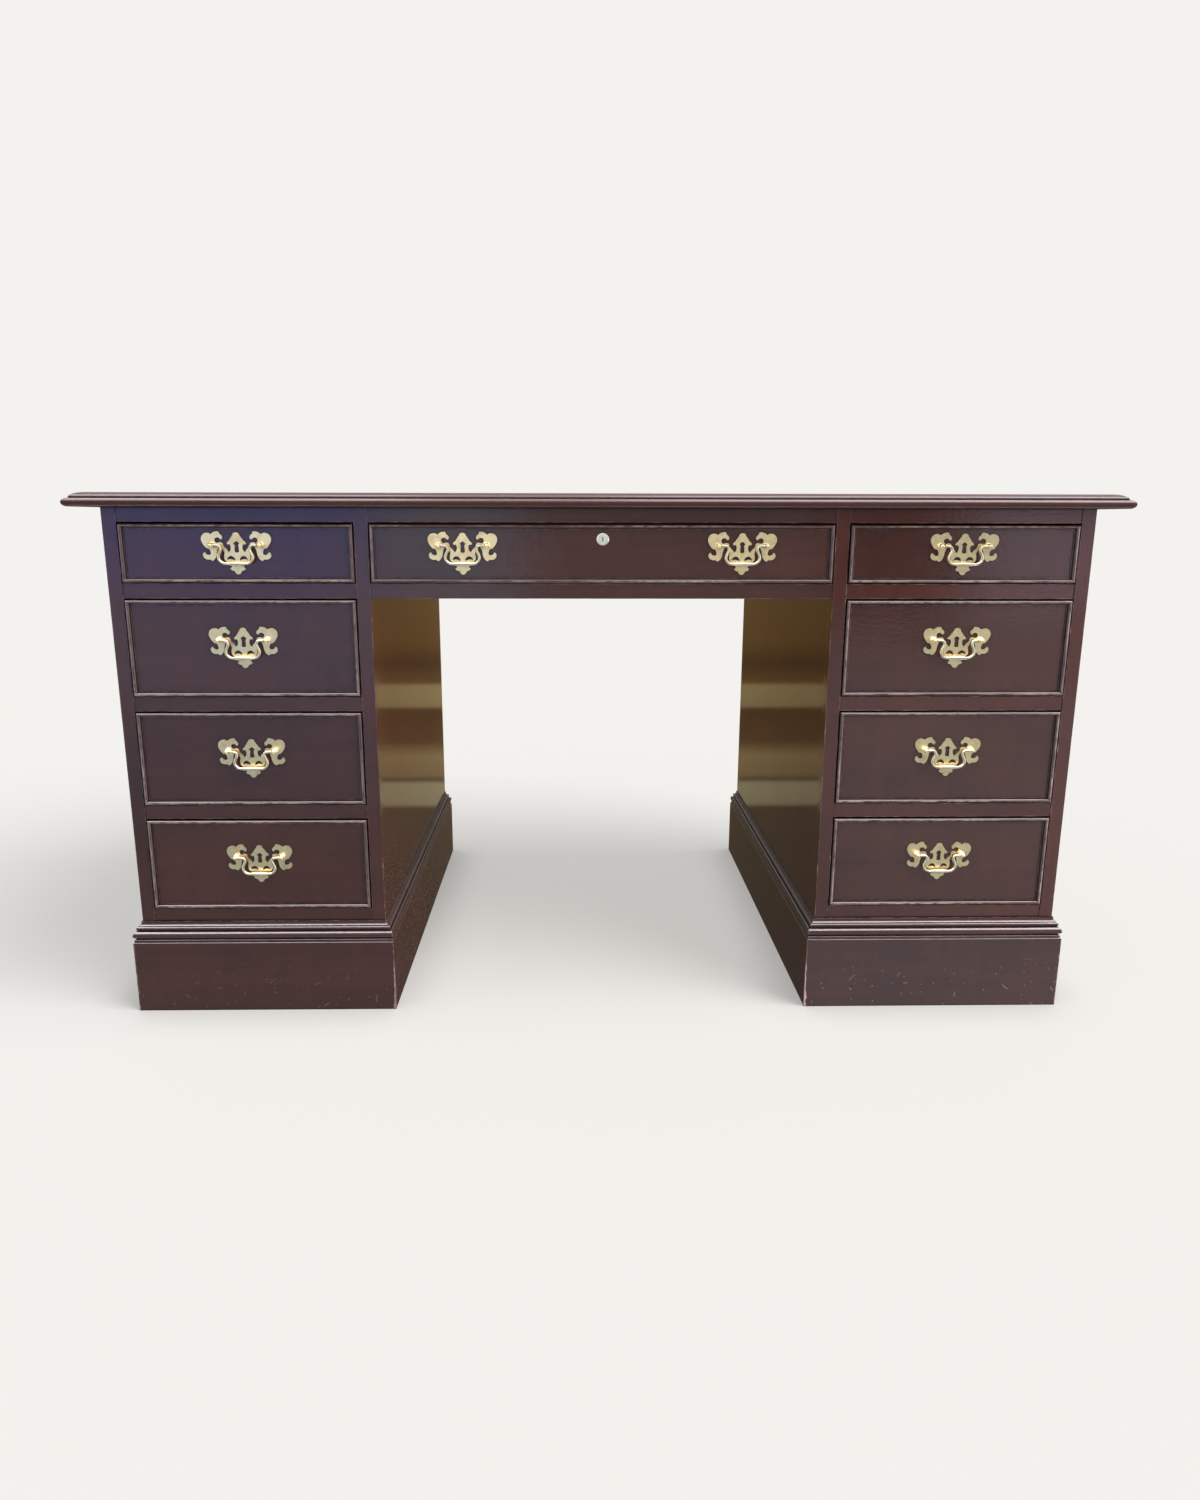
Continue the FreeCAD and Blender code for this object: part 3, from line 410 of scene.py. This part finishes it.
def metal(name, bright, dull, roughness, patina, seed=0.0):
    """Cast metal with duller, darker recesses and a patchy tarnish."""
    material, tree = new_material(name)
    place = tree.shifted(tree.place(), (seed, seed, seed))
    patches = tree.noise(tree.scaled(place, (70.0, 70.0, 70.0)), detail=4.0, roughness=0.6)
    grit = tree.noise(tree.scaled(place, (900.0, 900.0, 900.0)), detail=2.0)
    tarnish = tree.math("MAXIMUM", tree.times(tree.step(patches, 0.42, 0.68), patina),
                        tree.step(tree.openness(0.005), 0.60, 0.15))
    rough = tree.line(grit, 0.06, tree.line(tarnish, 0.22, roughness))
    tree.end(tree.put("BsdfPrincipled", {
        "Base Color": tree.blend(tarnish, bright, dull), "Metallic": 1.0, "Roughness": rough,
        "Normal": tree.bump(tree.line(patches, 0.6, grit), 0.12, 0.0003)}))
    return material


def leather(name, low, high):
    """Dark green hide with gilt tooled lines round its edge."""
    material, tree = new_material(name)
    place = tree.place()
    x, y, _ = tree.split(place)
    inset = tree.math("MINIMUM", tree.minus((high.x - low.x) / 2, tree.away(x)),
                      tree.minus((high.y - low.y) / 2, tree.away(y)))
    gilt = 0.0
    for at, half_width in GILT_LINES:
        on_line = tree.step(tree.away(inset, at), half_width + 0.0003, half_width - 0.0002)
        gilt = tree.math("MAXIMUM", gilt, on_line)
    gilt = tree.times(gilt, tree.step(tree.noise(place, 160.0), 0.30, 0.46))
    cells = tree.put("TexVoronoi", {"Vector": place, "Scale": 620.0}, feature="SMOOTH_F1")
    cloud = tree.noise(place, 6.0, 4.0)
    tree.end(tree.put("BsdfPrincipled", {
        "Base Color": tree.blend(gilt, tree.ramp(cloud, LEATHER), GILT),
        "Metallic": tree.times(gilt, 0.9), "Specular IOR Level": 0.2,
        "Roughness": tree.line(cloud, 0.2, 0.36),
        "Normal": tree.bump(cells.outputs["Distance"], 0.35)}))
    return material


# ---------------------------------------------------------------- dressing the frame

def dress(node, material, bevel_mm=0.0, clamp=True):
    """Gives a CAD node its finish, and softens its sharp edges."""
    thing = NODES[node]
    thing.data.materials.clear()
    thing.data.materials.append(material)
    if bevel_mm:
        bevel = thing.modifiers.new("softened", "BEVEL")
        bevel.width = bevel_mm / 1000
        bevel.segments = BEVEL_SEGMENTS
        bevel.use_clamp_overlap = clamp
        bevel.limit_method = "ANGLE"
        bevel.angle_limit = BEVEL_ANGLE
        bevel.miter_outer = "MITER_ARC"


def dress_carcass():
    plinth_low, plinth_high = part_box("plinth_boards")
    side_low, side_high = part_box("right_side_panels")
    drawer_low, drawer_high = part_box("right_1_drawer_front")
    pedestal = (side_low.x + side_high.x) / 2
    overhang = plinth_high.x - side_high.x
    worn_corner = Vector((side_low.x - overhang, plinth_low.y, plinth_low.z))
    edging = mitred(0, CAD_BOX[1].x, CAD_BOX[1].y)
    frame_layout = framed(pedestal, (drawer_high.x - drawer_low.x) / 2)
    ring = mitred(pedestal, (side_high.x - side_low.x) / 2 + overhang, plinth_high.y)

    dress("desktop_panel", mahogany("mahogany_desktop", board("x"), 1.0), 0.2)
    dress("desktop_edge_moulding",
          mahogany("mahogany_desktop_edge", edging, 2.0, chips=1.0, coat=0.40), 0.5)
    dress("left_front_frame", mahogany("mahogany_left_frame", frame_layout, 3.0, chips=1.2), 0.6)
    dress("right_front_frame",
          mahogany("mahogany_right_frame", frame_layout, 4.0, chips=1.6, tone=REDDER), 0.6)
    dress("rear_frames", mahogany("mahogany_rear_frames", frame_layout, 5.0, chips=0.8), 0.6)
    dress("centre_rails", mahogany("mahogany_centre_rails", board("x"), 6.0, chips=1.0), 0.6)
    for side, seed in (("left", 7.0), ("right", 8.0)):
        dress(side + "_side_panels",
              mahogany("mahogany_" + side + "_sides", board("z"), seed, gloss=0.045,
                       ripples=0.0), 0.4)
    dress("plinth_boards",
          mahogany("mahogany_plinth", ring, 9.0, scuffed=worn_corner, chips=1.6,
                   ripples=0.0), 0.8)
    dress("base_mouldings", mahogany("mahogany_base_moulding", ring, 10.0, chips=1.0), 0.3)
    dress("rear_frieze_panels", mahogany("mahogany_frieze", board("x"), 11.0), 0.4)
    dress("inner_boards", lining_wood("lining_boards", "x", 1.0), 0.5)
    dress("drawer_runners", lining_wood("lining_runners", "y", 2.0), 0.5)
    dress("desktop_leather", leather("leather_top", *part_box("desktop_leather")))


def moulded_front(node, seed):
    """Mahogany of a drawer front or a door, with mitred beads round its field."""
    low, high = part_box(node)
    centre, half = (low + high) / 2, (high - low) / 2
    is_door = node.endswith("_door")

    def layout(tree, place):
        x, z = place[0], place[2]
        ends = ring_mask(tree, x, z, centre.x, centre.z, half.x, half.z, BEAD_WIDTH)
        sides = ring_mask(tree, z, x, centre.z, centre.x, half.z, half.x, BEAD_WIDTH)
        field = along(tree, place, "z" if is_door else "x")
        return choose(tree, sides, choose(tree, ends, field, along(tree, place, "z")),
                      along(tree, place, "x"))

    def crest_wear_and_highlight(tree, place):
        inset = tree.math("MINIMUM", *[tree.minus(half[i], tree.away(place[i], centre[i]))
                                       for i in (0, 2)])
        top = tree.times(tree.step(tree.away(inset, BEAD_CREST), 0.0013, 0.0005),
                         tree.step(place[1], low.y + 0.0018, low.y + 0.0008))
        # painted highlight: the bottom bead's crest is lighter, as its upper side faces the light
        lit_bottom_bead = tree.step(place[2], centre.z - 0.01, centre.z - 0.02)
        return tree.times(top, tree.line(lit_bottom_bead, 0.3, 0.7))

    return mahogany("mahogany_" + node, layout, seed, crest_wear_and_highlight=None if is_door else crest_wear_and_highlight,
                    chips=0.6)


def dress_moving():
    for node in sorted(NODES):
        seed = 12.0 + sum(ord(letter) for letter in node) % 37
        if node.endswith(("_drawer_front", "_door")):
            dress(node, moulded_front(node, seed), 0.4)
        elif node.endswith("_drawer_box"):
            dress(node, lining_wood("lining_" + node, "y", seed), 0.5)
        elif node.endswith("_bail"):
            dress(node, metal("brass_" + node, BAIL_BRASS, DULL_BRASS, 0.33, 0.25, seed))
        elif node.endswith(("_drawer_pull", "_door_fittings")) or node == "rear_hinge_leaves":
            dress(node, metal("brass_" + node, PLATE_BRASS, DULL_BRASS, 0.31, 0.50, seed),
                  0.7, clamp=False)
    nickel = metal("nickel_lock", NICKEL, DULL_NICKEL, 0.26, 0.15)
    for node in ("lock_case", "lock_plug"):
        dress(node, nickel, 0.2)
    steel = metal("steel_parts", STEEL, DULL_STEEL, 0.35, 0.4)
    for node in ("lock_bolt", "top_screws"):
        dress(node, steel, 0.2)


# ---------------------------------------------------------------- studio

def floor():
    """A pale floor that melts into the background all round."""
    half = FLOOR_SIZE / 2
    mesh = bpy.data.meshes.new("studio_floor")
    corners = [(-half, -half, 0), (half, -half, 0), (half, half, 0), (-half, half, 0)]
    mesh.from_pydata(corners, [], [(0, 1, 2, 3)])
    thing = bpy.data.objects.new("studio_floor", mesh)
    SCENE.collection.objects.link(thing)
    thing.location.z = CAD_BOX[0].z - FLOOR_DROP
    thing.visible_glossy = False

    material, tree = new_material("studio_floor")
    x, y, _ = tree.split(tree.place())
    far = tree.math("SQRT", tree.math("ADD", tree.times(x, x), tree.times(y, y)))
    white = max(PAPER)
    tint = [part / white for part in PAPER]
    matte = tree.put("BsdfDiffuse", {"Color": (*[FLOOR_ALBEDO * part for part in tint], 1)})
    # painted contact shadow: the floor's glow is dimmed where the desk is near
    close = tree.step(tree.openness(CONTACT_SHADOW_REACH, samples=8), 0.45, 1.0)
    painted_contact_shadow = tree.line(close, CONTACT_SHADOW_LOSS, 1 - CONTACT_SHADOW_LOSS)
    glow = tree.put("Emission", {"Color": (*tint, 1),
                                 "Strength": tree.times(painted_contact_shadow, FLOOR_GLOW * white)})
    lit = tree.put("AddShader", {0: matte.outputs[0], 1: glow.outputs[0]})
    clear = tree.put("BsdfTransparent")
    tree.end(tree.put("MixShader", {0: tree.step(far, FADE_FROM, FADE_TO), 1: lit.outputs[0],
                                    2: clear.outputs[0]}))
    mesh.materials.append(material)
    return thing


def patch(tree, side, drop, at, size):
    """A soft-edged rectangle of the room ahead, by direction: 1 inside it, 0 well outside."""
    parts = []
    for value, middle, half in zip((side, drop), at, size):
        off = tree.math("DIVIDE", tree.away(value, middle), half)
        parts.append(tree.step(off, 1 + PATCH_SOFTNESS, 1 - PATCH_SOFTNESS))
    return tree.times(*parts)


def surroundings():
    """Paper-white to the camera, even light for matt surfaces, a room in reflections."""
    world = bpy.data.worlds.new("studio")
    SCENE.world = world
    world.use_nodes = True
    tree = Tree(world.node_tree)
    x, y, z = tree.split(tree.put("TexCoord").outputs["Generated"])
    depth = tree.math("MAXIMUM", tree.away(y), 0.05)
    drop = tree.math("DIVIDE", tree.times(z, -1.0), depth)
    side = tree.math("DIVIDE", x, depth)

    behind = tree.ramp(tree.math("DIVIDE", drop, BEHIND_DROP), ROOM_BEHIND)
    ahead = ROOM
    for at, size, colour in ROOM_AHEAD:
        ahead = tree.blend(patch(tree, side, drop, at, size), ahead, (*colour, 1))
    room = tree.blend(tree.step(y, -0.1, 0.1), ahead, behind)
    room = tree.blend(tree.step(z, 0.10, 0.45), room, CEILING)
    room = tree.blend(tree.step(z, -0.55, -0.75), room, GROUND)
    level = tree.step(tree.away(z), 0.55, 0.35)
    for end, strength in BESIDE:
        beside = tree.times(level, tree.step(tree.times(x, end), 0.72, 0.84))
        room = tree.blend(beside, room, (strength, strength, 1.08 * strength, 1))

    lean = tree.math("DIVIDE", y, tree.math("MAXIMUM", z, 0.05))
    near, far = OVERHEAD_LEAN
    pane = tree.step(tree.away(x, GLAZING_BAR), 0.06, 0.14)
    window = tree.times(tree.step(lean, near - 0.1, near + 0.1),
                        tree.step(lean, far + 0.1, far - 0.1),
                        tree.step(tree.away(x), OVERHEAD_HALF, OVERHEAD_HALF - 0.25),
                        tree.line(pane, 0.5, 0.5))
    room = tree.blend(window, room, (*OVERHEAD, 1))

    # The room is mirrored, but lights nothing: light that has met a matt surface never sees it.
    path = tree.put("LightPath").outputs
    mirrored = tree.times(path["Is Glossy Ray"],
                          tree.math("LESS_THAN", path["Diffuse Depth"], 0.5))
    lit = tree.blend(mirrored, (AMBIENT, AMBIENT, AMBIENT, 1), room)
    seen = tree.blend(path["Is Camera Ray"], lit, (*PAPER, 1))
    background = tree.put("Background", {"Color": seen, "Strength": 1.0})
    tree.put("OutputWorld", {"Surface": background.outputs[0]})


def area_light(name, at, toward, size, watts, colour):
    """A rectangular light that only matt surfaces see."""
    data = bpy.data.lights.new(name, "AREA")
    data.shape = "RECTANGLE"
    data.size, data.size_y = size
    data.energy = watts
    data.color = colour
    thing = bpy.data.objects.new(name, data)
    thing.location = at
    thing.rotation_euler = (Vector(toward) - Vector(at)).to_track_quat("-Z", "Y").to_euler()
    thing.visible_camera = False
    thing.visible_glossy = False
    SCENE.collection.objects.link(thing)
    return thing


def lights(ground):
    """A wide soft sun, softboxes that spare the floor, and a card for the metal alone."""
    data = bpy.data.lights.new("sun", "SUN")
    data.angle = SUN_SPREAD
    towards = Vector(SUN_FROM).normalized()
    shadowless = (1 - FLOOR_GLOW) * max(PAPER) / FLOOR_ALBEDO - AMBIENT
    data.energy = shadowless * math.pi / towards.z
    thing = bpy.data.objects.new("sun", data)
    thing.rotation_euler = towards.to_track_quat("Z", "Y").to_euler()
    thing.visible_glossy = False
    SCENE.collection.objects.link(thing)

    spared = bpy.data.collections.new("spared_by_softboxes")
    spared.objects.link(ground)
    spared.collection_objects[0].light_linking.link_state = "EXCLUDE"
    for softbox in SOFTBOXES:
        area_light(*softbox).light_linking.receiver_collection = spared

    metalwork = bpy.data.collections.new("lit_by_the_card")
    for node, thing in NODES.items():
        if node.endswith(("_pull", "_bail", "_fittings")) or node in ("lock_case", "lock_plug"):
            metalwork.objects.link(thing)
    card = area_light(*CARD)
    card.visible_glossy = True
    card.light_linking.receiver_collection = metalwork


def camera():
    data = bpy.data.cameras.new("camera")
    data.sensor_width = SENSOR_MM
    data.lens = SENSOR_MM * FOCAL_PX / IMAGE_H
    data.shift_x = (IMAGE_W / 2 - CENTRE_X_PX) / IMAGE_H
    data.shift_y = (CENTRE_Y_PX - IMAGE_H / 2) / IMAGE_H
    thing = bpy.data.objects.new("camera", data)
    turn = (Matrix.Rotation(-YAW_RIGHT, 4, "Z") @ Matrix.Rotation(math.pi / 2 - PITCH_DOWN, 4, "X")
            @ Matrix.Rotation(ROLL, 4, "Z"))
    thing.matrix_world = Matrix.Translation(CAMERA_AT) @ turn
    SCENE.collection.objects.link(thing)
    SCENE.camera = thing


SCENE.view_settings.view_transform = "Standard"
SCENE.view_settings.look = "None"
camera()
ground = floor()
surroundings()
lights(ground)
dress_carcass()
dress_moving()
